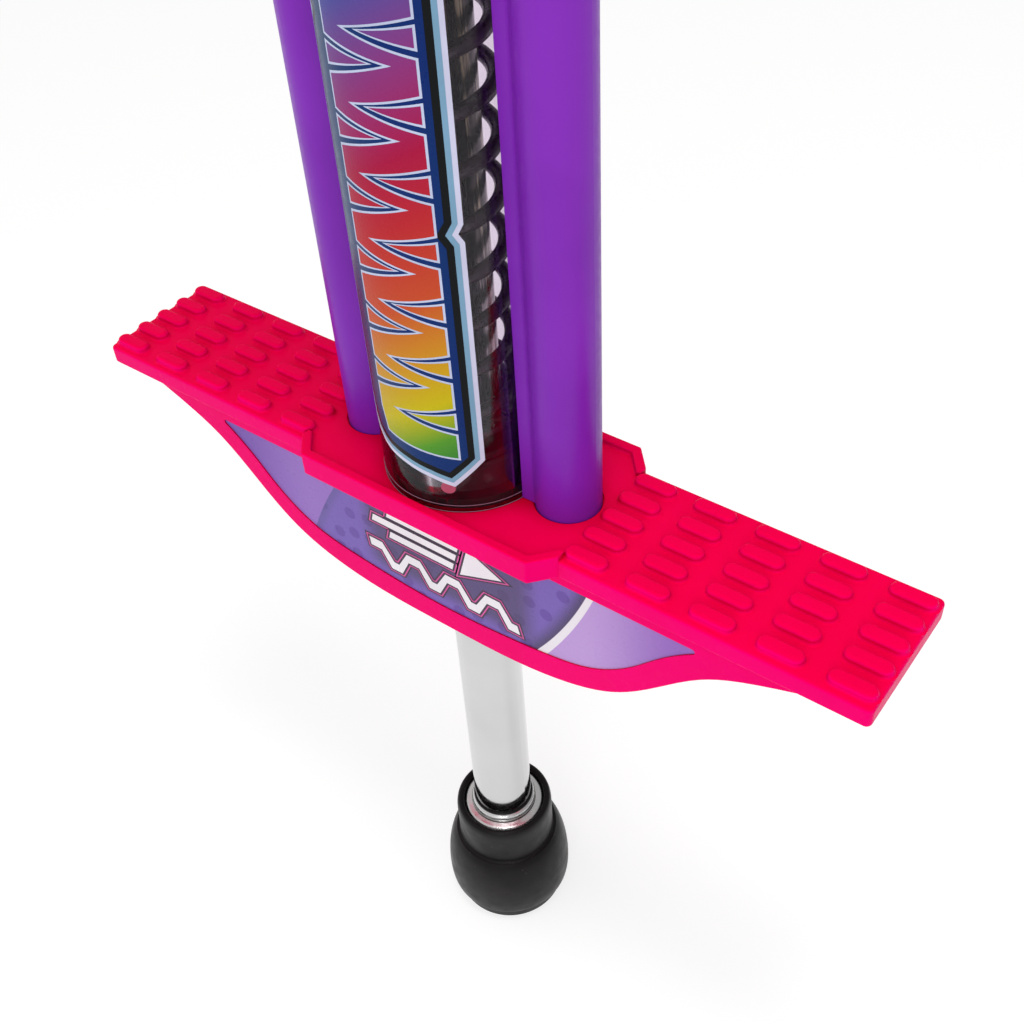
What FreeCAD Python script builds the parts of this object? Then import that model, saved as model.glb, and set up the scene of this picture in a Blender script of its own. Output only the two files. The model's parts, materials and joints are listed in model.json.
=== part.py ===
"""Child's pogo stick: twin side tubes, a clear spring tube between them and a sprung shaft below.

Frame: +Z up, origin on the floor under the middle of the foot, X along the treads, front at -Y.
All sizes in millimetres, drawn with the spring at rest.
"""
import FreeCAD, Part
import math
import os

V = FreeCAD.Vector
X = V(1, 0, 0)
Y = V(0, 1, 0)
Z = V(0, 0, 1)
EPS = 0.5                      # overrun of a cutting tool past the face it cuts

# ---------------------------------------------------------------- driving dimensions
SHAFT_R = 12.5
SHAFT_BORE_R = 11.3
SHAFT_BOTTOM = 12.0
STROKE = 80.0                  # travel of the shaft up into the frame

SIDE_R = 11.0                  # side tubes
SIDE_BORE_R = 9.2
SIDE_X = 41.0
SIDE_WEB = 15.2                # depth of the web that saddles the clear tube
WEB_X = 22.0                   # where the web is drawn from, inside the clear tube that trims it
SEAM_R = 3.0                   # hollow where the web runs into the tube
SIDE_BOTTOM = 212.0

CLEAR_R = 28.9                 # clear tube round the spring
CLEAR_WALL = 2.0
CLEAR_TOP = 731.5

TREAD_X = 158.5                # footrest, half lengths and half depths
TREAD_Y = 25.3
TREAD_TOP = 263.3
DECK_BOTTOM = 256.0
HUB_X = 54.6
HUB_INNER_X = 47.7
HUB_Y = 33.15
RIM_TOP = 265.4
RIM_WIDTH = 3.5
TRAY_FLOOR = TREAD_TOP         # the tray inside the rim runs on from the treads
SPIGOT_R = 26.0                # ring on the tray that the clear tube stands round
SPIGOT_TOP = 266.5
SKIRT_Y = 22.1
SKIRT_WALL = 2.8
SKIRT_BOTTOM = 197.0

STUD_COLUMNS = [61.7 + 22.1 * i for i in range(5)]
STUD_ROWS = [10.0 * i for i in range(-2, 3)]
STUD_LENGTH = 14.9
STUD_WIDTH = 5.7
STUD_TOP = 265.9
STUD_ROUND = 1.4               # rounding round its top
STUD_FLARE = 1.1               # where its foot runs out into the tread

WIRE_R = 2.25                  # coil spring
COIL_R = 16.9
COIL_PITCH = 16.5
COIL_TURNS = 26
COIL_START_Z = 295.4           # height of the wire's centre where the open turns begin, on the +X side
SPRING_BOTTOM = 288.2

BAR_R = 11.0                   # handlebar
BAR_BORE_R = 9.4
BAR_X = 148.0
BAR_BOLT_SEAT = 14.2           # how far from the middle the head and the nut of its bolt rest
GRIP_R = 15.5
GRIP_X0 = 67.0
GRIP_X1 = 149.0

SEAT_TOP = CLEAR_TOP + 18.0    # the head is stacked up from the clear tube's top
SHAFT_TOP = SEAT_TOP + 6.0
BAR_Z = SHAFT_TOP + STROKE + BAR_R + 5.5
SIDE_TOP = BAR_Z - 18.0
HEAD_BOTTOM = CLEAR_TOP - 16.0
HEAD_TOP = BAR_Z + 20.0
HEAD_X = 57.0
HEAD_WALL = 3.0

RUN = 0.06                     # radial clearance of a running fit
SLIP = 0.1                     # radial clearance of parts pushed together

PEG_ANGLES = (-64.0, 116.0)    # pegs that hold the clear tube on its collar
PEG_Z = 273.8
PEG_R = 2.4
PIN_Z = 283.5                  # cross pin of the shaft
PIN_R = 2.8

BOLT_R = 3.0                   # M6 bolts and their nuts
BOLT_HEAD_R = 5.2
NUT_WIDTH = 10.0
FOOT_BOLT_Z = 228.0
HEAD_BOLT_Z = CLEAR_TOP + 60.0
SEAT_BOLT_Z = CLEAR_TOP + 9.0
SCREWS = [(side * 24.0, HEAD_BOLT_Z + dz) for side in (-1, 1) for dz in (-14.0, 20.0)]


# ---------------------------------------------------------------- helpers
def cylinder(r, z0, z1, x=0.0, y=0.0):
    return Part.makeCylinder(r, z1 - z0, V(x, y, z0), Z)


def rod(r, start, axis, length):
    """A cylinder from a start point along any axis."""
    return Part.makeCylinder(r, length, start, axis)


def box(x0, x1, y0, y1, z0, z1):
    return Part.makeBox(x1 - x0, y1 - y0, z1 - z0, V(x0, y0, z0))


def face(points):
    return Part.Face(Part.makePolygon([V(*p) for p in points + points[:1]]))


def revolve(profile):
    """Turn a closed (radius, height) outline about the Z axis."""
    return face([(r, 0, z) for r, z in profile]).revolve(V(0, 0, 0), Z, 360)


def fuse(shapes):
    return shapes[0].multiFuse(shapes[1:]).removeSplitter()


def mirror_y(shape):
    return shape.mirror(V(0, 0, 0), Y)


def turned(shape, angle):
    copy = shape.copy()
    copy.rotate(V(0, 0, 0), Z, angle)
    return copy


def edges_at(shape, height, tolerance=0.01):
    """Edges that lie wholly at one height."""
    found = []
    for edge in shape.Edges:
        zs = [v.Z for v in edge.Vertexes]
        if all(abs(z - height) < tolerance for z in zs):
            found.append(edge)
    return found


def upright_edges(shape):
    return [e for e in shape.Edges if abs(e.Vertexes[0].Z - e.Vertexes[-1].Z) > 1]


def hexagon(across_flats, centre, axis, length):
    """A hexagonal prism for nuts, standing on centre along +Y or -Y."""
    radius = across_flats / math.sqrt(3)
    corners = []
    for i in range(6):
        a = math.radians(60 * i)
        corners.append((centre.x + radius * math.cos(a), centre.y, centre.z + radius * math.sin(a)))
    return face(corners).extrude(axis * length)


def bolt_holes(x, seat_y, z):
    """What a bolt along Y and its nut need cut away: the hole, the head's pocket and the nut's pocket."""
    return [
        rod(BOLT_R + 0.2, V(x, -HUB_Y, z), Y, 2 * HUB_Y),
        rod(BOLT_HEAD_R + 0.8, V(x, seat_y, z), Y, HUB_Y),
        hexagon(NUT_WIDTH + 0.2, V(x, -seat_y, z), Y * -1, HUB_Y),
    ]


def octagon(half_x, inner_x, half_y, inner_y, z0, z1):
    """A plan with straight sides and chamfered corners, raised from z0 to z1."""
    quarter = [(half_x, inner_y), (inner_x, half_y)]
    points = quarter + [(-x, y) for x, y in reversed(quarter)]
    points += [(-x, -y) for x, y in points]
    return face([(x, y, z0) for x, y in points]).extrude(Z * (z1 - z0))


# ---------------------------------------------------------------- footrest
def skirt_outline(lift):
    """Side view of the skirt: an S-curve from the flat middle up to the treads.

    lift raises the curve, for ribs that stop short of the skirt's edge.
    """
    top = DECK_BOTTOM + EPS + lift
    half = [(0, 0), (26, 0.4), (51, 3.8), (72, 11.8), (90, 26.8), (107, 42.2), (124, 51.0), (144, 58.6)]
    curve = [(-x, z) for x, z in reversed(half[1:])] + half
    points = [V(x, 0, SKIRT_BOTTOM + lift + z) for x, z in curve]
    spline = Part.BSplineCurve()
    spline.interpolate(points)
    left = V(points[0].x, 0, top)
    right = V(points[-1].x, 0, top)
    sides = [Part.makeLine(points[-1], right), Part.makeLine(right, left), Part.makeLine(left, points[0])]
    return Part.Face(Part.Wire([spline.toShape()] + sides))


def label_outline():
    """Side view of the label: the skirt's curve moved in, under a straight top edge."""
    top = 249.2
    tip_r = 1.1
    tip_x = 101.0
    slope = math.radians(37.0)
    end = (tip_x + tip_r * math.sin(slope), top - tip_r - tip_r * math.cos(slope))
    half = [(0, 206.9), (29.5, 208.6), (47, 210.8), (60, 213.8), (71, 219.4), (80, 226.8), (89, 236.4)]
    half += [(95.4, 242.4), end]
    curve = [(-x, z) for x, z in reversed(half[1:])] + half
    points = [V(x, 0, z) for x, z in curve]
    spline = Part.BSplineCurve()
    spline.interpolate(points)
    right = Part.Arc(points[-1], V(tip_x + tip_r, 0, top - tip_r), V(tip_x, 0, top)).toShape()
    left = Part.Arc(V(-tip_x, 0, top), V(-tip_x - tip_r, 0, top - tip_r), points[0]).toShape()
    across = Part.makeLine(V(tip_x, 0, top), V(-tip_x, 0, top))
    return Part.Face(Part.Wire([spline.toShape(), right, across, left]))


def slot_prism(length, width, z0, z1):
    """A prism with round ends, long along X."""
    half = (length - width) / 2
    return fuse([
        box(-half, half, -width / 2, width / 2, z0, z1),
        cylinder(width / 2, z0, z1, -half),
        cylinder(width / 2, z0, z1, half),
    ])


def stud():
    """One raised grip, with a rounded top and a flared foot."""
    pad = slot_prism(STUD_LENGTH + 2 * STUD_FLARE, STUD_WIDTH + 2 * STUD_FLARE, TREAD_TOP - EPS, TREAD_TOP)
    body = fuse([pad, slot_prism(STUD_LENGTH, STUD_WIDTH, TREAD_TOP - EPS, STUD_TOP)])
    body = body.makeFillet(STUD_ROUND, edges_at(body, STUD_TOP))
    foot = [e for e in edges_at(body, TREAD_TOP) if e.BoundBox.YMax - e.BoundBox.YMin < STUD_WIDTH + 0.01]
    foot = [e for e in foot if max(abs(e.BoundBox.YMin), abs(e.BoundBox.YMax)) < STUD_WIDTH / 2 + 0.01]
    return body.makeFillet(0.98 * STUD_FLARE, foot)


def treads():
    plate = box(-TREAD_X, TREAD_X, -TREAD_Y, TREAD_Y, DECK_BOTTOM, TREAD_TOP)
    plate = plate.makeFillet(2.0, upright_edges(plate))
    plate = plate.makeFillet(0.9, edges_at(plate, DECK_BOTTOM))
    return plate.makeFillet(1.2, edges_at(plate, TREAD_TOP))


def studs():
    one = stud()
    placed = []
    for x in STUD_COLUMNS:
        for y in STUD_ROWS:
            for side in (-1, 1):
                copy = one.copy()
                copy.translate(V(side * x, y, 0))
                placed.append(copy)
    return placed


def hub():
    """The deeper middle of the deck, with its raised rim along the front, the back and the corners."""
    block = octagon(HUB_X, HUB_INNER_X, HUB_Y, TREAD_Y, DECK_BOTTOM, RIM_TOP)
    block = block.makeFillet(1.0, upright_edges(block))
    block = block.makeFillet(0.8, edges_at(block, DECK_BOTTOM))
    inner_x = HUB_INNER_X - 1.6
    inner_y = HUB_Y - RIM_WIDTH
    tray = octagon(HUB_X - 1.6, inner_x, inner_y, TREAD_Y - RIM_WIDTH, TRAY_FLOOR, RIM_TOP + EPS)
    tray = tray.makeFillet(1.5, upright_edges(tray))
    tray = tray.makeFillet(1.0, edges_at(tray, TRAY_FLOOR))
    reach_x = HUB_X + EPS
    reach_y = TREAD_Y - RIM_WIDTH
    through = box(-reach_x, reach_x, -reach_y, reach_y, TREAD_TOP, RIM_TOP + EPS)
    block = block.cut(fuse([tray, through]))
    return block.makeFillet(0.7, edges_at(block, RIM_TOP))


def skirts():
    front = skirt_outline(0.0)
    front.translate(V(0, -SKIRT_Y, 0))
    front = front.extrude(Y * SKIRT_WALL)
    recess = label_outline()
    recess.translate(V(0, -SKIRT_Y - EPS, 0))
    front = front.cut(recess.extrude(Y * (EPS + 1.0)))
    return [front, mirror_y(front)]


def ribs():
    """Cross ribs between the skirts, cut to the skirts' curve."""
    profile = skirt_outline(3.0)
    inner = SKIRT_Y - SKIRT_WALL + EPS
    profile.translate(V(0, -inner, 0))
    core = profile.extrude(Y * (2 * inner))
    found = []
    for x in (62.0, 84.0, 106.0, 128.0):
        for side in (-1, 1):
            slab = box(side * x - 1.2, side * x + 1.2, -inner, inner, SKIRT_BOTTOM, DECK_BOTTOM + EPS)
            found.append(core.common(slab))
    return found


def footrest():
    boss_bottom = SIDE_BOTTOM - 4.0
    sockets = []
    cuts = []
    for side in (-1, 1):
        x = side * SIDE_X
        sockets.append(cylinder(14.0, boss_bottom, DECK_BOTTOM + EPS, x))
        sockets.append(rod(8.0, V(x, -SKIRT_Y + 2.0, FOOT_BOLT_Z), Y, 2 * SKIRT_Y - 4.0))
        cuts.append(cylinder(SIDE_R + SLIP, SIDE_BOTTOM, RIM_TOP + EPS, x))
        cuts.append(cylinder(SIDE_R + SLIP + 0.5, TREAD_TOP - 1.2, RIM_TOP + EPS, x))
        cuts.append(cylinder(4.0, boss_bottom - EPS, SIDE_BOTTOM + EPS, x))
        cuts.extend(bolt_holes(x, 15.6, FOOT_BOLT_Z))
    spigot = cylinder(SPIGOT_R, DECK_BOTTOM, SPIGOT_TOP)
    core = cylinder(20.6, SKIRT_BOTTOM + 1.5, DECK_BOTTOM + EPS)
    body = fuse([treads(), hub(), spigot, core] + skirts() + ribs() + sockets + studs())
    cuts.append(cylinder(16.2, SKIRT_BOTTOM - EPS, 270.0))
    cuts.append(cylinder(18.7, 258.0, 270.0))
    return body.cut(fuse(cuts))


def label(side):
    plate = label_outline()
    plate.translate(V(0, -SKIRT_Y + 1.0, 0))
    plate = plate.extrude(Y * -0.5)
    return plate if side < 0 else mirror_y(plate)


def bolt(x, seat_y, z):
    """A socket-head bolt along Y whose head rests at seat_y, long enough for a nut at -seat_y."""
    head = rod(BOLT_HEAD_R, V(x, seat_y, z), Y, 4.0)
    shank = rod(BOLT_R, V(x, -seat_y - 4.7, z), Y, 2 * seat_y + 4.8)
    recess = hexagon(5.0, V(x, seat_y + 1.7, z), Y, 4.0)
    return head.fuse(shank).cut(recess)


def nut(x, seat_y, z):
    body = hexagon(NUT_WIDTH, V(x, -seat_y, z), Y * -1, 4.6)
    return body.cut(rod(BOLT_R + 0.05, V(x, -seat_y - 6.0, z), Y, 10.0))


def footrest_bolts():
    return Part.makeCompound([bolt(side * SIDE_X, 15.7, FOOT_BOLT_Z) for side in (-1, 1)])


def footrest_nuts():
    return Part.makeCompound([nut(side * SIDE_X, 15.7, FOOT_BOLT_Z) for side in (-1, 1)])


# ---------------------------------------------------------------- tubes
def side_form(side, low, web_low, high, grow=0.0):
    """Solid outside of a side tube: the round tube, its web and the hollow seams between them.

    The web runs inwards past the clear tube's wall. grow moves every face out, for a socket.
    """
    x = side * SIDE_X
    radius = SIDE_R + grow
    half_web = SIDE_WEB / 2 + grow
    web_x = side * WEB_X
    tube = cylinder(radius, low, high, x)
    web = box(min(web_x, x), max(web_x, x), -half_web, half_web, web_low, high)
    form = fuse([tube, web])
    seam_x = side * (SIDE_X - math.sqrt(radius ** 2 - half_web ** 2))
    seams = [e for e in upright_edges(form) if abs(e.CenterOfMass.x - seam_x) < 0.1]
    return form.makeFillet(SEAM_R - grow, seams)


def side_tube(side):
    """A round tube whose inner side carries a web hollowed to the clear tube's radius."""
    x = side * SIDE_X
    web_bottom = TRAY_FLOOR + 0.4
    profile = side_form(side, SIDE_BOTTOM, web_bottom, SIDE_TOP)
    profile = profile.cut(cylinder(CLEAR_R + SLIP, web_bottom - EPS, SIDE_TOP + EPS))
    profile = profile.cut(cylinder(SIDE_BORE_R, SIDE_BOTTOM - EPS, SIDE_TOP + EPS, x))
    holes = [
        rod(3.2, V(x, -20.0, FOOT_BOLT_Z), Y, 40.0),
        rod(3.2, V(x, -20.0, HEAD_BOLT_Z), Y, 40.0),
        rod(4.1, V(side * 20.0, 0, SEAT_BOLT_Z), X * side, 40.0),
    ]
    return profile.cut(fuse(holes))


def spring_tube():
    outer = cylinder(CLEAR_R, TRAY_FLOOR, CLEAR_TOP)
    tube = outer.cut(cylinder(CLEAR_R - CLEAR_WALL, TRAY_FLOOR - EPS, CLEAR_TOP + EPS))
    for angle in PEG_ANGLES:
        tube = tube.cut(turned(rod(PEG_R, V(20, 0, PEG_Z), X, 15.0), angle))
    return tube


def tube_pegs():
    peg = rod(PEG_R, V(19.0, 0, PEG_Z), X, 9.8)
    return Part.makeCompound([turned(peg, angle) for angle in PEG_ANGLES])


def tube_graphic():
    """Thin film round the front of the clear tube."""
    low = 274.5
    high = 510.0
    half_angle = 48.0
    film = cylinder(CLEAR_R + 0.2, low, high).cut(cylinder(CLEAR_R, low - EPS, high + EPS))
    reach = 60.0
    a = math.radians(half_angle)
    edge = V(reach * math.sin(a), -reach * math.cos(a), 0)
    wedge = face([(0, 0, low), (edge.x, edge.y, low), (0, -2 * reach, low), (-edge.x, edge.y, low)])
    return film.common(wedge.extrude(Z * (high - low)))


# ---------------------------------------------------------------- foot end of the frame
def base_collar():
    collar = revolve([
        (13.3, 262.4), (18.6, 262.4), (18.6, SPIGOT_TOP), (22.7, SPIGOT_TOP),
        (22.7, 276.7), (21.9, 277.5), (13.3, 277.5),
    ])
    for angle in PEG_ANGLES:
        collar = collar.cut(turned(rod(PEG_R, V(18.5, 0, PEG_Z), X, 10.0), angle))
    return collar


def tube_seal():
    """Thin ring between the spigot and the clear tube, with a lip over the spigot's top."""
    wall = CLEAR_R - CLEAR_WALL
    lip_top = SPIGOT_TOP + 0.7
    return revolve([
        (SPIGOT_R, TRAY_FLOOR), (wall, TRAY_FLOOR), (wall, lip_top),
        (22.9, lip_top), (22.9, SPIGOT_TOP), (SPIGOT_R, SPIGOT_TOP),
    ])


def rebound_bumper():
    return revolve([
        (13.3, 277.5), (21.0, 277.5), (21.4, 278.4), (21.0, 280.4), (13.6, 280.4), (13.3, 280.0),
    ])


def lower_bush():
    bore = SHAFT_R + RUN
    return revolve([
        (bore, 200.0), (15.6, 200.0), (16.2, 200.8), (16.2, 258.0),
        (18.7, 258.0), (18.7, 262.4), (bore + 0.8, 262.4), (bore, 261.6),
    ])


# ---------------------------------------------------------------- spring and its top seat
def main_spring():
    """Right-hand open coil, wire drawn along a helix, with a flat closed ring at each end."""
    helix = Part.makeHelix(COIL_PITCH, COIL_PITCH * COIL_TURNS, COIL_R)
    helix.translate(V(0, 0, COIL_START_Z))
    circle = Part.Wire(Part.makeCircle(WIRE_R, V(COIL_R, 0, COIL_START_Z), Y))
    coil = helix.makePipeShell([circle], True, True)
    ends = (SPRING_BOTTOM + WIRE_R, CLEAR_TOP - WIRE_R)
    rings = [Part.makeTorus(COIL_R, WIRE_R, V(0, 0, z), Z) for z in ends]
    return Part.makeCompound([coil] + rings)


def top_spring_seat():
    seat = revolve([
        (15.0, CLEAR_TOP), (19.8, CLEAR_TOP), (19.8, CLEAR_TOP - 6.0), (26.6, CLEAR_TOP - 6.0),
        (26.6, CLEAR_TOP), (CLEAR_R, CLEAR_TOP), (CLEAR_R, SEAT_TOP), (15.0, SEAT_TOP),
    ])
    for side in (-1, 1):
        seat = seat.cut(rod(4.0, V(side * 17.0, 0, SEAT_BOLT_Z), X * side, 20.0))
    return seat


def top_bush():
    bore = SHAFT_R + RUN
    return revolve([
        (bore, CLEAR_TOP), (15.0, CLEAR_TOP), (15.0, SEAT_TOP), (17.5, SEAT_TOP),
        (17.5, SEAT_TOP + 2.5), (bore + 0.8, SEAT_TOP + 2.5), (bore, SEAT_TOP + 1.7),
    ])


def seat_bolts():
    made = []
    for side in (-1, 1):
        shank = rod(4.0, V(side * 17.2, 0, SEAT_BOLT_Z), X * side, SIDE_X + SIDE_R + 0.2 - 17.2)
        head = rod(6.5, V(side * (SIDE_X + SIDE_R + 0.2), 0, SEAT_BOLT_Z), X * side, 3.6)
        made.append(shank.fuse(head))
    return Part.makeCompound(made)


# ---------------------------------------------------------------- head
def head_form(inset):
    """The head's outer form, or its hollow when inset is the wall thickness.

    It is what three outlines have in common: the plan, the side view and the front view.
    """
    low = HEAD_BOTTOM + inset
    high = HEAD_TOP - inset
    slim_y = 19.0 - inset
    plan = octagon(HEAD_X - inset, 48.5 - 0.5 * inset, HUB_Y - inset, 21.0 - 0.5 * inset, low, high)
    side_half = [
        (HUB_Y - 4.0 - inset, low), (HUB_Y - inset, low + 5.0), (HUB_Y - inset, SEAT_TOP + 14.0),
        (slim_y, SEAT_TOP + 52.0), (slim_y, HEAD_TOP - 8.0), (slim_y - 6.0, high),
    ]
    side = [(-HEAD_X, y, z) for y, z in side_half]
    side += [(-HEAD_X, -y, z) for y, z in reversed(side_half)]
    front_half = [
        (HEAD_X - 5.0 - inset, low), (HEAD_X - inset, low + 6.0), (HEAD_X - inset, SIDE_TOP - 14.0),
        (46.0 - inset, HEAD_TOP - 14.0), (38.0 - inset, high),
    ]
    front = [(x, -HUB_Y, z) for x, z in front_half]
    front += [(-x, -HUB_Y, z) for x, z in reversed(front_half)]
    form = plan.common(face(side).extrude(X * (2 * HEAD_X)))
    return form.common(face(front).extrude(Y * (2 * HUB_Y)))


def head_shell(side):
    """Half of the head: a wall with collars for the tubes and bosses for screws and bolts."""
    outer = head_form(0.0)
    outer = outer.makeFillet(3.0, outer.Edges)
    shell = outer.cut(head_form(HEAD_WALL))
    collars = [
        cylinder(CLEAR_R + 2.6, HEAD_BOTTOM, SEAT_TOP + 2.0),
        rod(BAR_R + 3.0, V(-HEAD_X, 0, BAR_Z), X, 2 * HEAD_X),
        rod(8.0, V(0, -HUB_Y, BAR_Z), Y, 2 * HUB_Y),
    ]
    cuts = [
        cylinder(CLEAR_R + SLIP, HEAD_BOTTOM - EPS, SEAT_TOP + 3.0),
        rod(BAR_R + SLIP, V(-70.0, 0, BAR_Z), X, 140.0),
        cylinder(SHAFT_R + 2.0, SEAT_TOP, SHAFT_TOP + STROKE + 3.0),
    ] + bolt_holes(0.0, BAR_BOLT_SEAT, BAR_Z)
    for s in (-1, 1):
        x = s * SIDE_X
        collars.append(cylinder(SIDE_R + 2.4, HEAD_BOTTOM, HEAD_BOTTOM + 14.0, x))
        collars.append(cylinder(SIDE_R + 2.4, HEAD_BOLT_Z - 10.0, HEAD_BOLT_Z + 10.0, x))
        collars.append(rod(8.0, V(x, -HUB_Y, HEAD_BOLT_Z), Y, 2 * HUB_Y))
        cuts.append(side_form(s, HEAD_BOTTOM - EPS, HEAD_BOTTOM - EPS, SIDE_TOP + 1.0, SLIP))
        cuts.extend(bolt_holes(x, 16.0, HEAD_BOLT_Z))
        cuts.append(rod(7.0, V(s * (SIDE_X + SIDE_R), 0, SEAT_BOLT_Z), X * s, 5.4))
    for x, z in SCREWS:
        collars.append(rod(4.2, V(x, -HUB_Y, z), Y, 2 * HUB_Y))
        cuts.append(rod(1.6, V(x, -12.0, z), Y, 60.0))
        cuts.append(rod(3.4, V(x, 13.0, z), Y, 40.0))
    form = fuse([shell] + collars).common(outer).cut(fuse(cuts))
    low_y = -60.0 if side < 0 else 0.0
    return form.common(box(-80, 80, low_y, low_y + 60.0, HEAD_BOTTOM - 1, HEAD_TOP + 1))


def head_screws():
    made = []
    for x, z in SCREWS:
        shank = rod(1.6, V(x, -11.5, z), Y, 25.0)
        head = rod(3.2, V(x, 13.0, z), Y, 2.4)
        made.append(shank.fuse(head))
    return Part.makeCompound(made)


def head_bolts():
    return Part.makeCompound([bolt(side * SIDE_X, 16.1, HEAD_BOLT_Z) for side in (-1, 1)])


def head_nuts():
    return Part.makeCompound([nut(side * SIDE_X, 16.1, HEAD_BOLT_Z) for side in (-1, 1)])


# ---------------------------------------------------------------- handlebar
def handlebar():
    tube = rod(BAR_R, V(-BAR_X, 0, BAR_Z), X, 2 * BAR_X)
    bore = rod(BAR_BORE_R, V(-BAR_X - EPS, 0, BAR_Z), X, 2 * BAR_X + 1.0)
    return tube.cut(fuse([bore, rod(3.2, V(0, -20, BAR_Z), Y, 40)]))


def handlebar_bolt():
    return bolt(0.0, BAR_BOLT_SEAT, BAR_Z)


def handlebar_nut():
    return nut(0.0, BAR_BOLT_SEAT, BAR_Z)


def grip(side):
    """Soft sleeve with a flange at its inner end."""
    reach = GRIP_X1 - GRIP_X0
    body = rod(GRIP_R, V(side * GRIP_X0, 0, BAR_Z), X * side, reach)
    flange = rod(20.0, V(side * GRIP_X0, 0, BAR_Z), X * side, 4.0)
    bore = rod(BAR_R, V(side * (GRIP_X0 - 1), 0, BAR_Z), X * side, reach + 2)
    return fuse([body, flange]).cut(bore)


def end_plug(side):
    cap = rod(GRIP_R - 1.0, V(side * GRIP_X1, 0, BAR_Z), X * side, 3.0)
    stem = rod(BAR_BORE_R, V(side * (GRIP_X1 - 16.0), 0, BAR_Z), X * side, 17.0)
    return cap.fuse(stem)


# ---------------------------------------------------------------- plunger
def shaft():
    tube = cylinder(SHAFT_R, SHAFT_BOTTOM, SHAFT_TOP)
    tube = tube.cut(cylinder(SHAFT_BORE_R, SHAFT_BOTTOM - EPS, SHAFT_TOP + EPS))
    return tube.cut(rod(PIN_R, V(0, -20, PIN_Z), Y, 40))


def shaft_top_plug():
    cap = cylinder(SHAFT_R - 0.3, SHAFT_TOP, SHAFT_TOP + 2.0)
    return cap.fuse(cylinder(SHAFT_BORE_R, SHAFT_TOP - 14.0, SHAFT_TOP + 1.0))


def spring_pin():
    return rod(PIN_R, V(0, -18.5, PIN_Z), Y, 37.0)


def spring_washer():
    return revolve([(SHAFT_R + 0.05, 286.3), (20.0, 286.3), (20.0, 288.2), (SHAFT_R + 0.05, 288.2)])


def rubber_tip():
    return revolve([
        (0, 0), (23.8, 0), (24.6, 1.0), (25.1, 7.6), (26.7, 8.1), (27.7, 11.5), (27.9, 15.0),
        (27.7, 22.0), (27.0, 29.0), (25.7, 35.0), (24.5, 38.8), (22.9, 41.4), (21.5, 42.0),
        (21.3, 45.0), (21.3, 58.0), (21.1, 61.6),
        (20.2, 62.8), (18.9, 63.0), (17.9, 62.2), (17.6, 60.5), (17.5, 55.0),
        (SHAFT_R, 55.0), (SHAFT_R, 12.0), (14.5, 12.0), (14.5, 9.0), (0, 9.0),
    ])


def tip_ferrule():
    return revolve([
        (SHAFT_R, 55.0), (17.4, 55.0), (17.4, 60.4), (16.9, 61.4), (14.4, 62.1), (13.9, 61.9),
        (14.2, 63.1), (14.1, 64.2), (13.7, 65.3), (13.0, 66.0), (SHAFT_R, 66.0),
    ])


def shaft_band():
    return revolve([
        (SHAFT_R, 66.0), (13.0, 66.0), (13.1, 66.3), (13.1, 67.2), (12.8, 67.6), (SHAFT_R, 67.6),
    ])


def tip_disc():
    return cylinder(14.5, 9.0, 12.0)


# ---------------------------------------------------------------- write every node
NODES = {
    "footrest": footrest(),
    "front_label": label(-1),
    "back_label": label(1),
    "footrest_bolts": footrest_bolts(),
    "footrest_nuts": footrest_nuts(),
    "left_side_tube": side_tube(-1),
    "right_side_tube": side_tube(1),
    "spring_tube": spring_tube(),
    "tube_graphic": tube_graphic(),
    "tube_pegs": tube_pegs(),
    "base_collar": base_collar(),
    "tube_seal": tube_seal(),
    "rebound_bumper": rebound_bumper(),
    "lower_bush": lower_bush(),
    "main_spring": main_spring(),
    "top_spring_seat": top_spring_seat(),
    "top_bush": top_bush(),
    "seat_bolts": seat_bolts(),
    "head_front_shell": head_shell(-1),
    "head_rear_shell": head_shell(1),
    "head_screws": head_screws(),
    "head_bolts": head_bolts(),
    "head_nuts": head_nuts(),
    "handlebar": handlebar(),
    "handlebar_bolt": handlebar_bolt(),
    "handlebar_nut": handlebar_nut(),
    "left_grip": grip(-1),
    "right_grip": grip(1),
    "left_end_plug": end_plug(-1),
    "right_end_plug": end_plug(1),
    "shaft": shaft(),
    "shaft_top_plug": shaft_top_plug(),
    "spring_pin": spring_pin(),
    "spring_washer": spring_washer(),
    "rubber_tip": rubber_tip(),
    "tip_ferrule": tip_ferrule(),
    "shaft_band": shaft_band(),
    "tip_disc": tip_disc(),
}

os.makedirs("parts", exist_ok=True)
for name, shape in NODES.items():
    shape.exportStep("parts/" + name + ".step")
    print(name, "solids", len(shape.Solids), "valid", shape.isValid(), "volume", round(shape.Volume))
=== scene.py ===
"""Looks of the pogo stick: camera, light, materials, and the detailed pieces on the CAD frame.

Everything is in metres in the CAD model's own frame. Outlines that are easier to read in
millimetres are written in millimetres and multiplied by MM.
"""
import json
import math

import bmesh
import bpy
from mathutils import Matrix, Vector


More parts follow.
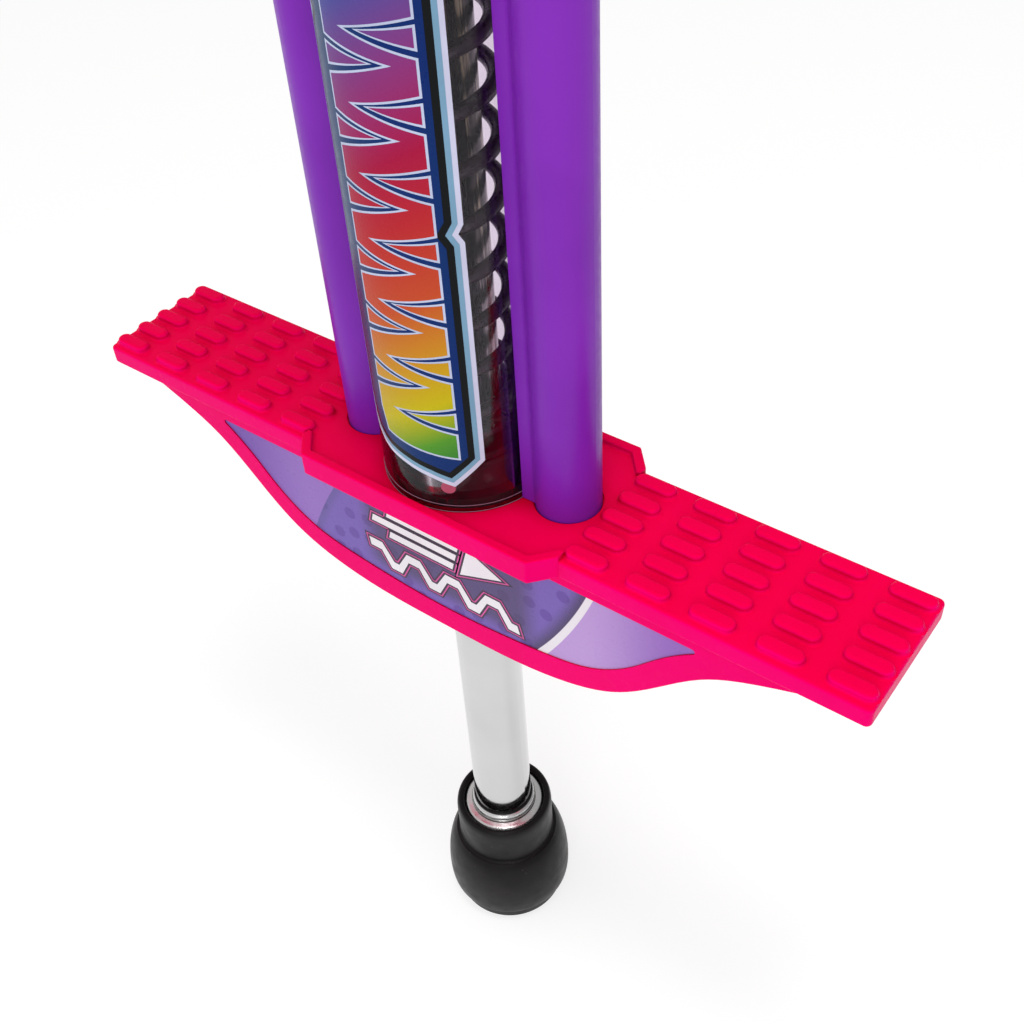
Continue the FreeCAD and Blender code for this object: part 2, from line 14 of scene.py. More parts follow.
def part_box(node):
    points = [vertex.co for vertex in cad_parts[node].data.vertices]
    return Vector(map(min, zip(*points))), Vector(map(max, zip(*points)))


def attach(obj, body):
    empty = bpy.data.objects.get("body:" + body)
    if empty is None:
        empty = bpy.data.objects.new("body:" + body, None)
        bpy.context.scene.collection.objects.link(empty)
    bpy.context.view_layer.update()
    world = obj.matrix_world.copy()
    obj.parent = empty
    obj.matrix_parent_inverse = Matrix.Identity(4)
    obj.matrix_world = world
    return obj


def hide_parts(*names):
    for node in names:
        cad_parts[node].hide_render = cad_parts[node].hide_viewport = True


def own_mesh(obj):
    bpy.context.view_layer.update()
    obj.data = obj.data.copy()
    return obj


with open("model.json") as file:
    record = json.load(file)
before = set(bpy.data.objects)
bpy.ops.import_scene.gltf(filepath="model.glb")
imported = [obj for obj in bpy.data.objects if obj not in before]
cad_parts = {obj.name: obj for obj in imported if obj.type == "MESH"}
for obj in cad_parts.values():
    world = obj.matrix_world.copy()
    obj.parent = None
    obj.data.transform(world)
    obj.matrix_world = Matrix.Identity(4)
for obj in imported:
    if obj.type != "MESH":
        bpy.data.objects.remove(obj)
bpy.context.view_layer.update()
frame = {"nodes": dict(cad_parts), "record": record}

MM = 0.001
NODES = frame["nodes"]
SLOTS = {part["node"]: part["material_slot"] for part in frame["record"]["subparts"]}

# where things are, taken from the CAD nodes
TUBE_LOW, TUBE_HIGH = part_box("spring_tube")
SPRING_LOW, SPRING_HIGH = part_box("main_spring")
LABEL_LOW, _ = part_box("front_label")
GRIP_LOW, GRIP_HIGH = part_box("right_grip")
PLUG_LOW, PLUG_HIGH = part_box("right_end_plug")
TIP_LOW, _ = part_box("rubber_tip")
BAR_LOW, BAR_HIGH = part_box("handlebar")
TUBE_RADIUS = TUBE_HIGH.x
BAR_Z = (BAR_LOW.z + BAR_HIGH.z) / 2

# camera and studio
CAMERA_PLACE = (0.2172, -0.2426, 0.5369)
CAMERA_TURN = (39.569, -42.821, -4.165)  # yaw, pitch and roll, in degrees
CAMERA_LENS = 43.80                      # millimetres
SENSOR_WIDTH = 36.0                      # millimetres
WHITE = (1.0, 1.0, 1.0, 1.0)
DARKER_SIDE = (0.77, 0.64, 0.0)          # the direction in which the surround falls off
SURROUND_BRIGHT = 0.72
SURROUND_DIM = 0.30
BACKDROP_STRENGTH = 1.05
FLOOR_HALF = 6.0
FLOOR_GLOW = 0.745


# ---------------------------------------------------------------- camera, floor and light
def place_camera():
    yaw, pitch, roll = (math.radians(angle) for angle in CAMERA_TURN)
    flat = math.cos(pitch)
    forward = Vector((-math.sin(yaw) * flat, math.cos(yaw) * flat, math.sin(pitch)))
    level = Vector((math.cos(yaw), math.sin(yaw), 0.0))
    lift = level.cross(forward)
    right = level * math.cos(roll) + lift * math.sin(roll)
    top = lift * math.cos(roll) - level * math.sin(roll)
    data = bpy.data.cameras.new("camera")
    data.lens = CAMERA_LENS
    data.sensor_width = SENSOR_WIDTH
    data.clip_start = 0.01
    camera = bpy.data.objects.new("camera", data)
    camera.matrix_world = Matrix((right, top, -forward)).transposed().to_4x4()
    camera.location = CAMERA_PLACE
    bpy.context.scene.collection.objects.link(camera)
    bpy.context.scene.camera = camera


def area_light(name, place, target, size, power):
    data = bpy.data.lights.new(name, "AREA")
    data.shape = "SQUARE"
    data.size = size
    data.energy = power
    light = bpy.data.objects.new(name, data)
    light.location = place
    aim = Vector(target) - Vector(place)
    light.rotation_euler = aim.to_track_quat("-Z", "Y").to_euler()
    bpy.context.scene.collection.objects.link(light)


def light_the_scene():
    """White studio: a surround that falls off to the right, a soft box overhead, one in front."""
    world = bpy.data.worlds.new("studio")
    bpy.context.scene.world = world
    world.use_nodes = True
    tree = world.node_tree
    surround = tree.nodes["Background"]
    surround.inputs["Color"].default_value = WHITE
    direction = tree.nodes.new("ShaderNodeTexCoord").outputs["Generated"]
    sideways = tree.nodes.new("ShaderNodeVectorMath")
    sideways.operation = "DOT_PRODUCT"
    sideways.inputs[1].default_value = DARKER_SIDE
    tree.links.new(direction, sideways.inputs[0])
    fall = tree.nodes.new("ShaderNodeMapRange")
    fall.inputs["From Min"].default_value = -1.0
    fall.inputs["To Min"].default_value = SURROUND_BRIGHT
    fall.inputs["To Max"].default_value = SURROUND_DIM
    tree.links.new(sideways.outputs["Value"], fall.inputs["Value"])
    tree.links.new(fall.outputs["Result"], surround.inputs["Strength"])
    backdrop = tree.nodes.new("ShaderNodeBackground")
    backdrop.inputs["Color"].default_value = WHITE
    backdrop.inputs["Strength"].default_value = BACKDROP_STRENGTH
    seen = tree.nodes.new("ShaderNodeLightPath")
    mix = tree.nodes.new("ShaderNodeMixShader")
    tree.links.new(seen.outputs["Is Camera Ray"], mix.inputs[0])
    tree.links.new(surround.outputs[0], mix.inputs[1])
    tree.links.new(backdrop.outputs[0], mix.inputs[2])
    tree.links.new(mix.outputs[0], tree.nodes["World Output"].inputs["Surface"])
    area_light("overhead", (0.22, -0.12, 1.75), target=(0.02, 0.0, 0.26), size=0.42, power=10.5)
    area_light("front", (0.55, -0.95, 0.75), target=(0.0, 0.0, 0.22), size=0.45, power=3.0)
    bpy.context.scene.view_settings.view_transform = "Standard"


def lay_floor():
    """White paper that glows a little, so that only the object's shadow is darker."""
    half = FLOOR_HALF
    mesh = bpy.data.meshes.new("floor")
    corners = [(-half, -half, 0), (half, -half, 0), (half, half, 0), (-half, half, 0)]
    mesh.from_pydata(corners, [], [(0, 1, 2, 3)])
    floor = bpy.data.objects.new("floor", mesh)
    bpy.context.scene.collection.objects.link(floor)
    paper = Shader("floor_paper", (0.34, 0.34, 0.34), 0.9, specular=0.0)
    paper.set("Emission Color", WHITE)
    paper.set("Emission Strength", FLOOR_GLOW)
    floor.data.materials.append(paper.material)


# ---------------------------------------------------------------- shader building
class Shader:
    """A Principled material and short calls that add nodes to it."""

    def __init__(self, name, base, roughness, metallic=0.0, specular=0.5):
        self.material = bpy.data.materials.new(name)
        self.material.use_nodes = True
        self.tree = self.material.node_tree
        self.bsdf = self.tree.nodes["Principled BSDF"]
        self.bsdf.inputs["Base Color"].default_value = (*base, 1.0)
        self.bsdf.inputs["Roughness"].default_value = roughness
        self.bsdf.inputs["Metallic"].default_value = metallic
        self.bsdf.inputs["Specular IOR Level"].default_value = specular
        self.place = self.tree.nodes.new("ShaderNodeTexCoord").outputs["Object"]
        self.x, self.y, self.z = self.node("ShaderNodeSeparateXYZ", [self.place]).outputs

    def put(self, socket, value):
        if isinstance(value, bpy.types.NodeSocket):
            self.tree.links.new(value, socket)
        elif isinstance(value, tuple) and len(value) == 3 and socket.type == "RGBA":
            socket.default_value = (*value, 1.0)
        else:
            socket.default_value = value

    def node(self, kind, values=(), **settings):
        made = self.tree.nodes.new(kind)
        for key, setting in settings.items():
            setattr(made, key, setting)
        for socket, value in zip(made.inputs, values):
            self.put(socket, value)
        return made

    def set(self, name, value):
        self.put(self.bsdf.inputs[name], value)

    def math(self, operation, first, second=0.0):
        return self.node("ShaderNodeMath", [first, second], operation=operation).outputs[0]

    def product(self, first, second):
        return self.math("MULTIPLY", first, second)

    def length(self, x, y):
        """Length of the flat vector (x, y)."""
        return self.math("SQRT", self.math("ADD", self.product(x, x), self.product(y, y)))

    def apart(self, value, middle):
        """How far a value is from the middle, on either side."""
        return self.math("ABSOLUTE", self.math("SUBTRACT", value, middle))

    def fade(self, value, start, end):
        """0 at start and 1 at end, with a soft change between; start may be the larger."""
        made = self.node("ShaderNodeMapRange", interpolation_type="SMOOTHSTEP")
        self.put(made.inputs["Value"], value)
        low, high = min(start, end), max(start, end)
        made.inputs["From Min"].default_value = low
        made.inputs["From Max"].default_value = high
        made.inputs["To Min"].default_value = 0.0 if start < end else 1.0
        made.inputs["To Max"].default_value = 1.0 if start < end else 0.0
        return made.outputs["Result"]

    def mix(self, factor, first, second):
        made = self.node("ShaderNodeMix", data_type="RGBA")
        self.put(made.inputs[0], factor)
        self.put(made.inputs[6], first)
        self.put(made.inputs[7], second)
        return made.outputs[2]

    def scaled(self, x, y, z):
        made = self.node("ShaderNodeVectorMath", [self.place, (x, y, z)], operation="MULTIPLY")
        return made.outputs[0]

    def noise(self, scale, detail, vector=None):
        made = self.node("ShaderNodeTexNoise")
        self.put(made.inputs["Vector"], vector or self.place)
        made.inputs["Scale"].default_value = scale
        made.inputs["Detail"].default_value = detail
        return made.outputs["Fac"]

    def spots(self, scale, radius):
        """1 inside small scattered dots, 0 outside."""
        made = self.node("ShaderNodeTexVoronoi")
        self.put(made.inputs["Vector"], self.place)
        made.inputs["Scale"].default_value = scale
        return self.fade(made.outputs["Distance"], radius, radius * 0.85)

    def ramp(self, factor, stops):
        made = self.node("ShaderNodeValToRGB", [factor])
        elements = made.color_ramp.elements
        while len(elements) < len(stops):
            elements.new(0.5)
        for element, (position, colour) in zip(elements, stops):
            element.position = position
            element.color = (*colour, 1.0)
        return made.outputs["Color"]

    def bump(self, height, strength, distance):
        made = self.node("ShaderNodeBump")
        made.inputs["Strength"].default_value = strength
        made.inputs["Distance"].default_value = distance
        self.put(made.inputs["Height"], height)
        self.set("Normal", made.outputs["Normal"])

    def spread(self, pattern, low, high):
        """Maps the middle of a noise pattern's range to low and high."""
        return self.node("ShaderNodeMapRange", [pattern, 0.3, 0.7, low, high]).outputs["Result"]

    def vary_roughness(self, pattern, low, high):
        self.set("Roughness", self.spread(pattern, low, high))


def linear(code):
    """Linear colour of a six-digit sRGB code."""
    parts = [int(code[i:i + 2], 16) / 255.0 for i in (0, 2, 4)]
    return tuple(p / 12.92 if p <= 0.04045 else ((p + 0.055) / 1.055) ** 2.4 for p in parts)


# ---------------------------------------------------------------- materials
def pink_plastic():
    """Moulded plastic with painted light and shade: redder on faces that look up, more magenta on
    the sides, and deep red painted shade where the form is hollow.
    """
    shader = Shader("pink_plastic", (0.92, 0.0, 0.12), 0.3, specular=0.5)
    shader.set("IOR", 1.08)
    shader.set("Specular Tint", (1.0, 0.05, 0.6))
    # painted light: the base colour follows the surface normal, redder where faces look up and more
    # magenta on the sides
    normal = shader.node("ShaderNodeNewGeometry").outputs["Normal"]
    painted_top_light = shader.fade(shader.node("ShaderNodeSeparateXYZ", [normal]).outputs[2], 0.25, 0.95)
    colour = shader.mix(painted_top_light, (0.94, 0.0, 0.165), (0.95, 0.0, 0.072))
    pale = shader.mix(painted_top_light, (0.91, 0.0, 0.15), (0.92, 0.0, 0.066))
    flow = shader.fade(shader.noise(38.0, 2.0), 0.35, 0.75)
    # painted shade: an occlusion probe picks out hollows, the feet of the studs and the gaps
    # between them
    painted_shade_probe = shader.node("ShaderNodeAmbientOcclusion", samples=8)
    painted_shade_probe.inputs["Distance"].default_value = 0.009
    clear_of_painted_shade = shader.fade(painted_shade_probe.outputs["AO"], 0.25, 0.99)
    flow_and_painted_light = shader.mix(flow, colour, pale)
    # the deep red is painted shade, laid over the painted-light colour
    shader.set("Base Color", shader.mix(clear_of_painted_shade, (0.60, 0.0, 0.022), flow_and_painted_light))
    shader.vary_roughness(shader.noise(240.0, 4.0), 0.20, 0.30)
    shader.bump(shader.noise(900.0, 2.0), 0.03, 0.0002)
    return shader.material


def peg_plastic():
    """The pegs' plastic, duller than the footrest's."""
    shader = Shader("peg_plastic", (0.42, 0.06, 0.12), 0.45, specular=0.3)
    cloud = shader.noise(300.0, 3.0)
    shader.set("Base Color", shader.mix(cloud, (0.38, 0.05, 0.11), (0.48, 0.08, 0.15)))
    shader.vary_roughness(shader.noise(400.0, 3.0), 0.38, 0.52)
    return shader.material


def purple_paint(name):
    """Satin powder coat: fine orange peel under a thin gloss."""
    shader = Shader(name, (0.21, 0.018, 0.46), 0.34, specular=0.5)
    shader.set("IOR", 1.3)
    cloud = shader.fade(shader.noise(30.0, 2.0), 0.3, 0.7)
    shader.set("Base Color", shader.mix(cloud, (0.20, 0.014, 0.435), (0.225, 0.018, 0.48)))
    shader.vary_roughness(shader.noise(420.0, 3.0), 0.30, 0.40)
    shader.bump(shader.noise(1500.0, 2.0), 0.08, 0.00012)
    return shader.material


def chrome_steel():
    """Chrome plate; inside the frame the shaft has dark streaky grease, more of it higher up, and
    low in the clear tube a maroon painted reflection of the pink footrest.
    """
    shader = Shader("chrome_steel", (0.60, 0.605, 0.61), 0.1, metallic=1.0)
    streaks = shader.noise(1.0, 4.0, shader.scaled(800.0, 800.0, 30.0))
    patches = shader.noise(90.0, 4.0)
    thin_streaks = shader.fade(streaks, 0.40, 0.60)
    thin = shader.mix(thin_streaks, (0.05, 0.038, 0.046), (0.32, 0.29, 0.30))
    thick_streaks = shader.fade(streaks, 0.46, 0.66)
    thick = shader.mix(thick_streaks, (0.022, 0.018, 0.020), (0.30, 0.26, 0.17))
    uneven_z = shader.math("ADD", shader.z, shader.product(patches, 0.05))
    grease_and_painted_reflection = shader.mix(shader.fade(uneven_z, 0.345, 0.395), thin, thick)
    grease_and_painted_reflection = shader.mix(shader.fade(patches, 0.52, 0.66), grease_and_painted_reflection, (0.03, 0.026, 0.03))
    cloud = shader.fade(shader.noise(22.0, 3.0), 0.3, 0.7)
    polish = shader.mix(cloud, (0.575, 0.58, 0.585), (0.63, 0.63, 0.635))
    # painted reflection: maroon below about z = 0.3 m stands in for the pink footrest's reflection;
    # it is fixed to the shaft and rides up with it
    grease_and_painted_reflection = shader.mix(shader.fade(shader.z, 0.306, 0.286), grease_and_painted_reflection, (0.09, 0.008, 0.028))
    covered = shader.fade(shader.z, 0.258, 0.268)
    shader.set("Base Color", shader.mix(covered, polish, grease_and_painted_reflection))
    both = shader.node("ShaderNodeMix", [covered], data_type="FLOAT")
    shader.put(both.inputs[2], shader.spread(shader.noise(320.0, 3.0), 0.06, 0.12))
    shader.put(both.inputs[3], shader.spread(streaks, 0.16, 0.34))
    shader.set("Roughness", both.outputs[0])
    shader.bump(streaks, 0.04, 0.0001)
    return shader.material


def ferrule_chrome():
    """Pressed ring: duller than the shaft, with a brown tide mark in its groove."""
    shader = Shader("ferrule_chrome", (0.74, 0.73, 0.73), 0.28, metallic=1.0)
    groove_radius = 0.01385
    radius = shader.length(shader.x, shader.y)
    near = shader.fade(shader.apart(radius, groove_radius), 0.0007, 0.0001)
    stain = shader.product(near, shader.fade(shader.z, 0.0625, 0.0618))
    cloud = shader.mix(shader.noise(160.0, 3.0), (0.66, 0.65, 0.65), (0.82, 0.81, 0.81))
    shader.set("Base Color", shader.mix(stain, cloud, (0.10, 0.05, 0.035)))
    shader.vary_roughness(shader.noise(260.0, 4.0), 0.20, 0.36)
    return shader.material


def spring_steel():
    """Black oxide wire with an oily film, browner where the oil has collected."""
    shader = Shader("spring_steel", (0.012, 0.008, 0.013), 0.3, specular=0.5)
    oil = shader.fade(shader.noise(110.0, 4.0), 0.40, 0.65)
    colour = shader.mix(oil, (0.012, 0.003, 0.009), (0.034, 0.012, 0.025))
    dust = shader.spots(900.0, 0.14)
    shader.set("Base Color", shader.mix(dust, colour, (0.09, 0.07, 0.08)))
    shader.vary_roughness(shader.noise(300.0, 4.0), 0.16, 0.42)
    shader.bump(shader.noise(650.0, 4.0), 0.12, 0.0002)
    return shader.material


def black_rubber():
    """Matt rubber with a fine skin, pale dust in its pores and a slight bloom."""
    shader = Shader("black_rubber", (0.009, 0.008, 0.0085), 0.4, specular=0.15)
    bloom = shader.fade(shader.noise(45.0, 4.0), 0.35, 0.70)
    colour = shader.mix(bloom, (0.006, 0.005, 0.0055), (0.012, 0.0105, 0.011))
    dust = shader.spots(300.0, 0.05)
    shader.set("Base Color", shader.mix(dust, colour, (0.10, 0.095, 0.095)))
    shader.vary_roughness(shader.noise(200.0, 4.0), 0.32, 0.46)
    shader.bump(shader.noise(1300.0, 4.0), 0.12, 0.00025)
    return shader.material


def black_plastic():
    """Moulded black plastic with a fine grain."""
    shader = Shader("black_plastic", (0.018, 0.017, 0.018), 0.45, specular=0.3)
    cloud = shader.noise(80.0, 3.0)
    shader.set("Base Color", shader.mix(cloud, (0.012, 0.010, 0.012), (0.022, 0.019, 0.021)))
    shader.vary_roughness(shader.noise(260.0, 4.0), 0.38, 0.55)
    shader.bump(shader.noise(1700.0, 2.0), 0.15, 0.0002)
    return shader.material


def zinc_steel():
    """Dull zinc plate, rough enough that a flat nut doesn't mirror the lights."""
    shader = Shader("zinc_steel", (0.30, 0.31, 0.33), 0.52, metallic=1.0)
    crystals = shader.noise(500.0, 4.0)
    grain = shader.fade(crystals, 0.35, 0.65)
    shader.set("Base Color", shader.mix(grain, (0.25, 0.26, 0.27), (0.35, 0.35, 0.38)))
    shader.vary_roughness(crystals, 0.46, 0.60)
    return shader.material


def grip_rubber():
    """Soft pink rubber with a fine grain."""
    shader = Shader("grip_rubber", (0.90, 0.004, 0.12), 0.5, specular=0.25)
    worn = shader.fade(shader.noise(60.0, 3.0), 0.35, 0.7)
    shader.set("Base Color", shader.mix(worn, (0.86, 0.003, 0.11), (0.92, 0.006, 0.14)))
    shader.vary_roughness(shader.noise(180.0, 4.0), 0.42, 0.58)
    shader.bump(shader.noise(1400.0, 3.0), 0.18, 0.0002)
    return shader.material


def clear_plastic():
    """Polished clear tube: see-through face on, glossy at its edges, with faint milky scuffs."""
    shader = Shader("clear_plastic", (0.9, 0.9, 0.92), 0.08)
    clear = shader.node("ShaderNodeBsdfTransparent", [(0.935, 0.90, 0.94)]).outputs[0]
    gloss = shader.node("ShaderNodeBsdfGlossy")
    shader.put(gloss.inputs["Color"], (0.75, 0.74, 0.77))
    shader.put(gloss.inputs["Roughness"], 0.09)
    fresnel = shader.node("ShaderNodeFresnel")
    shader.put(fresnel.inputs["IOR"], 1.3)
    body = shader.node("ShaderNodeMixShader", [fresnel.outputs[0], clear, gloss.outputs[0]])
    haze = shader.node("ShaderNodeBsdfDiffuse")
    shader.put(haze.inputs["Color"], (0.86, 0.84, 0.90))
    scuffs = shader.fade(shader.noise(1.0, 4.0, shader.scaled(160.0, 160.0, 420.0)), 0.60, 0.78)
    milk = shader.product(scuffs, 0.03)
    whole = shader.node("ShaderNodeMixShader", [milk, body.outputs[0], haze.outputs[0]])
    nodes = shader.tree.nodes
    shader.tree.links.new(whole.outputs[0], nodes["Material Output"].inputs["Surface"])
    nodes.remove(shader.bsdf)
    return shader.material


def film(name, colour, spread=0.06):
    """Printed glossy film in one ink, with faint unevenness."""
    shader = Shader(name, colour, 0.28, specular=0.12)
    shade = tuple(channel * (1.0 - 2.0 * spread) for channel in colour)
    cloud = shader.fade(shader.noise(55.0, 3.0), 0.3, 0.7)
    shader.set("Base Color", shader.mix(cloud, shade, colour))
    shader.vary_roughness(shader.noise(300.0, 3.0), 0.24, 0.34)
    return shader.material


def blue_film():
    """The graphic's field: deep blue at the lit side, with painted light that makes it greyer and
    paler towards its left edge.
    """
    shader = Shader("graphic_blue", linear("0B3A80"), 0.28, specular=0.12)
    # painted light: the field turns greyer and paler towards its left edge
    along = shader.fade(shader.x, 0.012, -0.022)
    colour = shader.mix(along, linear("02266A"), linear("28466E"))
    cloud = shader.fade(shader.noise(24.0, 2.0), 0.35, 0.65)
    shader.set("Base Color", shader.mix(cloud, colour, linear("04326A")))
    shader.vary_roughness(shader.noise(300.0, 3.0), 0.24, 0.34)
    return shader.material


def rainbow_film():
    """Ink that runs from blue at the top through purple, red and yellow to green at the bottom."""
    shader = Shader("graphic_rainbow", (0.8, 0.1, 0.1), 0.28, specular=0.12)
    slanted = shader.math("ADD", shader.z, shader.product(shader.x, -0.55))
    factor = shader.node("ShaderNodeMapRange", [slanted, 0.262, 0.462]).outputs[0]
    stops = [
        (0.05, "0E7038"), (0.12, "529428"), (0.19, "C2B206"), (0.28, "C88A1C"),
        (0.38, "C24A26"), (0.50, "B8242C"), (0.60, "A60A3E"), (0.71, "8A3076"),
        (0.83, "4C4A98"), (1.0, "1074A6"),
    ]
    colour = shader.ramp(factor, [(position, linear(code)) for position, code in stops])
    shader.set("Base Color", colour)
    shader.vary_roughness(shader.noise(300.0, 3.0), 0.24, 0.34)
    return shader.material


def circle_through(first, second, third):
    """Centre and radius of the circle through three (x, z) points."""
    (ax, az), (bx, bz), (cx, cz) = first, second, third
    d = 2 * (ax * (bz - cz) + bx * (cz - az) + cx * (az - bz))
    a, b, c = ax * ax + az * az, bx * bx + bz * bz, cx * cx + cz * cz
    x = (a * (bz - cz) + b * (cz - az) + c * (az - bz)) / d
    z = (a * (cx - bx) + b * (ax - cx) + c * (bx - ax)) / d
    return x, z, math.hypot(ax - x, az - z)


def label_print():
    """Lavender panel with a darker round field, dots, a pale crescent and a soft shadow."""
    shader = Shader("label_print", linear("9472C0"), 0.3, specular=0.15)
    # millimetres to the viewer's right, whichever panel it is, and above the floor
    away = shader.product(shader.math("SIGN", shader.y), -1.0)
    across = shader.product(shader.product(shader.x, 1.0 / MM), away)
    height = shader.product(shader.z, 1.0 / MM)

    def beyond(*points):
        """Distance outside the circle through three points, in millimetres, below 0 inside."""
        x, z, radius = circle_through(*points)
        dx = shader.math("SUBTRACT", across, x)
        dz = shader.math("SUBTRACT", height, z)
        return shader.math("SUBTRACT", shader.length(dx, dz), radius)

    # the field lies inside the left arc and the inner arc; the crescent between inner and outer
    left = beyond((-44.9, 245.4), (-54.0, 230.8), (-61.1, 217.1))
    outer = beyond((66.3, 252.3), (56.8, 229.9), (46.6, 212.0))
    inner = beyond((63.8, 252.6), (54.6, 231.4), (44.2, 213.9))

    lavender = shader.mix(shader.fade(across, -100.0, -58.0), linear("7650AC"), linear("9670C2"))
    tail = shader.mix(shader.fade(across, 60.0, 98.0), linear("BC98D6"), linear("9467BE"))
    colour = shader.mix(shader.fade(across, 0.0, 1.0), lavender, tail)
    flat = shader.node("ShaderNodeCombineXYZ", [across, height]).outputs[0]
    cells = shader.node("ShaderNodeTexVoronoi", voronoi_dimensions="2D")
    shader.put(cells.inputs["Vector"], flat)
    shader.put(cells.inputs["Scale"], 0.088)
    shader.put(cells.inputs["Randomness"], 0.7)
    dots = shader.fade(cells.outputs["Distance"], 0.25, 0.21)
    field = shader.mix(dots, linear("7860B4"), linear("6A4FA4"))
    rim = shader.product(shader.fade(left, -5.0, -0.5), 0.45)
    field = shader.mix(rim, field, linear("5A5488"))
    shadow = shader.product(shader.fade(inner, -6.5, 0.5), 0.85)
    field = shader.mix(shadow, field, linear("453B52"))
    glow_x = shader.fade(shader.apart(across, 3.0), 42.0, 30.0)
    glow_z = shader.fade(shader.apart(height, 229.0), 21.0, 12.0)
    glow = shader.product(shader.product(glow_x, glow_z), 0.7)
    field = shader.mix(glow, field, linear("4A4052"))
    inside = shader.product(shader.fade(left, 0.15, -0.15), shader.fade(inner, 0.15, -0.15))
    colour = shader.mix(inside, colour, field)
    crescent = shader.product(shader.fade(inner, -0.15, 0.15), shader.fade(outer, 0.15, -0.15))
    colour = shader.mix(crescent, colour, linear("EAE4EC"))
    shader.set("Base Color", colour)
    shader.vary_roughness(shader.noise(280.0, 3.0), 0.24, 0.36)
    return shader.material


MATERIALS = {
    "pink_plastic": pink_plastic(),
    "label_print": label_print(),
    "purple_paint": purple_paint("purple_paint"),
    "bar_steel": purple_paint("bar_paint"),
    "clear_plastic": clear_plastic(),
    "graphic_print": film("graphic_white", linear("D3D4EC")),
    "black_plastic": black_plastic(),
    "black_rubber": black_rubber(),
    "spring_steel": spring_steel(),
    "zinc_steel": zinc_steel(),
    "grip_rubber": grip_rubber(),
    "chrome_steel": chrome_steel(),
}
FERRULE_CHROME = ferrule_chrome()
# nodes that look other than their slot's material
SPECIAL = {
    "tube_pegs": peg_plastic(),
    "spring_washer": MATERIALS["spring_steel"],
    "spring_pin": MATERIALS["spring_steel"],
}


def dress_nodes():
    """Every CAD node gets the material of its slot in the record, unless SPECIAL names one."""
    for name, piece in NODES.items():
        piece.data.materials.clear()
        piece.data.materials.append(SPECIAL.get(name, MATERIALS[SLOTS[name]]))


# ---------------------------------------------------------------- mesh building
def new_piece(name, mesh, material, body):
    piece = bpy.data.objects.new(name, mesh)
    bpy.context.scene.collection.objects.link(piece)
    mesh.materials.append(material)
    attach(piece, body)
    return piece


def finished(mesh, name, smooth=True, sharp=None):
    """Mesh data made from a bmesh; edges that bend by more than sharp degrees stay crisp."""
    made = bpy.data.meshes.new(name)
    mesh.to_mesh(made)
    mesh.free()
    if smooth:
        made.polygons.foreach_set("use_smooth", [True] * len(made.polygons))
    if sharp is not None:
        made.set_sharp_from_angle(angle=math.radians(sharp))
    return made


def smooth_path(points, steps):
    """Catmull-Rom curve through 2-D points."""
    path = []
    for i in range(len(points) - 1):
        before = points[max(i - 1, 0)]
        start, end = points[i], points[i + 1]
        after = points[min(i + 2, len(points) - 1)]
        for k in range(steps):
            t = k / steps
            weights = (
                -0.5 * t + t * t - 0.5 * t ** 3, 1 - 2.5 * t * t + 1.5 * t ** 3,
                0.5 * t + 2 * t * t - 1.5 * t ** 3, -0.5 * t * t + 0.5 * t ** 3,
            )
            knots = (before, start, end, after)
            path.append(tuple(sum(w * p[axis] for w, p in zip(weights, knots)) for axis in (0, 1)))
    path.append(points[-1])
    return path


def lathe(name, profile, origin, axis, segments):
    """Turns (radius, distance) points in millimetres about an axis; ends on the axis are closed."""
    turn = Vector((0, 0, 1)).rotation_difference(Vector(axis)).to_matrix()
    mesh = bmesh.new()
    rings = []
    for radius, along in profile:
        if radius < 1e-6:
            rings.append([mesh.verts.new(turn @ Vector((0, 0, along * MM)) + Vector(origin))])
            continue
        ring = []
        for k in range(segments):
            angle = 2 * math.pi * k / segments
            x, y = radius * MM * math.cos(angle), radius * MM * math.sin(angle)
            ring.append(mesh.verts.new(turn @ Vector((x, y, along * MM)) + Vector(origin)))
        rings.append(ring)
    for low, high in zip(rings, rings[1:]):
        for k in range(segments):
            j = (k + 1) % segments
            corners = [low[k % len(low)], low[j % len(low)]]
            corners += [high[j % len(high)], high[k % len(high)]]
            unique = [c for i, c in enumerate(corners) if c not in corners[:i]]
            if len(unique) > 2:
                mesh.faces.new(unique)
    bmesh.ops.recalc_face_normals(mesh, faces=mesh.faces)
    return finished(mesh, name, sharp=35)


# ---------------------------------------------------------------- the spring
def wire_height(turn, turns, low, high, first, pitch):
    """Height of the wire's centre; a turn before 0 and one after the last close the ends."""
    lead = first - low
    power = pitch / lead
    if turn < 0:
        return low + lead * (turn + 1) ** power
    if turn > turns:
        return high - lead * (turns + 1 - turn) ** power
    return first + pitch * turn


def coil_spring():
    """Round wire in an even pitch, closed at both ends."""
    wire = 2.25                              # radius of the wire
    radius = 16.9                            # from the spring's axis to the wire's centre
    pitch = 16.5
    turns = 26
    steps, sides = 44, 14                    # facets along one turn and round the wire
    low = SPRING_LOW.z / MM + wire
    high = SPRING_HIGH.z / MM - wire
    first = (low + high - pitch * turns) / 2
    mesh = bmesh.new()
    rings = []
    for i in range((turns + 2) * steps + 1):
        turn = i / steps - 1
        angle = 2 * math.pi * turn
        outward = Vector((math.cos(angle), math.sin(angle), 0))
        height = wire_height(turn, turns, low, high, first, pitch)
        centre = outward * radius + Vector((0, 0, height))
        ring = []
        for k in range(sides):
            a = 2 * math.pi * k / sides
            offset = outward * math.cos(a) + Vector((0, 0, 1)) * math.sin(a)
            ring.append(mesh.verts.new((centre + offset * wire) * MM))
        rings.append(ring)
    for a, b in zip(rings, rings[1:]):
        for k in range(sides):
            j = (k + 1) % sides
            mesh.faces.new((a[k], b[k], b[j], a[j]))
    mesh.faces.new(rings[0])
    mesh.faces.new(rings[-1])
    bmesh.ops.recalc_face_normals(mesh, faces=mesh.faces)
    made = finished(mesh, "coil_spring", sharp=50)
    spring = new_piece("coil_spring", made, MATERIALS["spring_steel"], "housing")
    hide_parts("main_spring")
    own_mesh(spring)


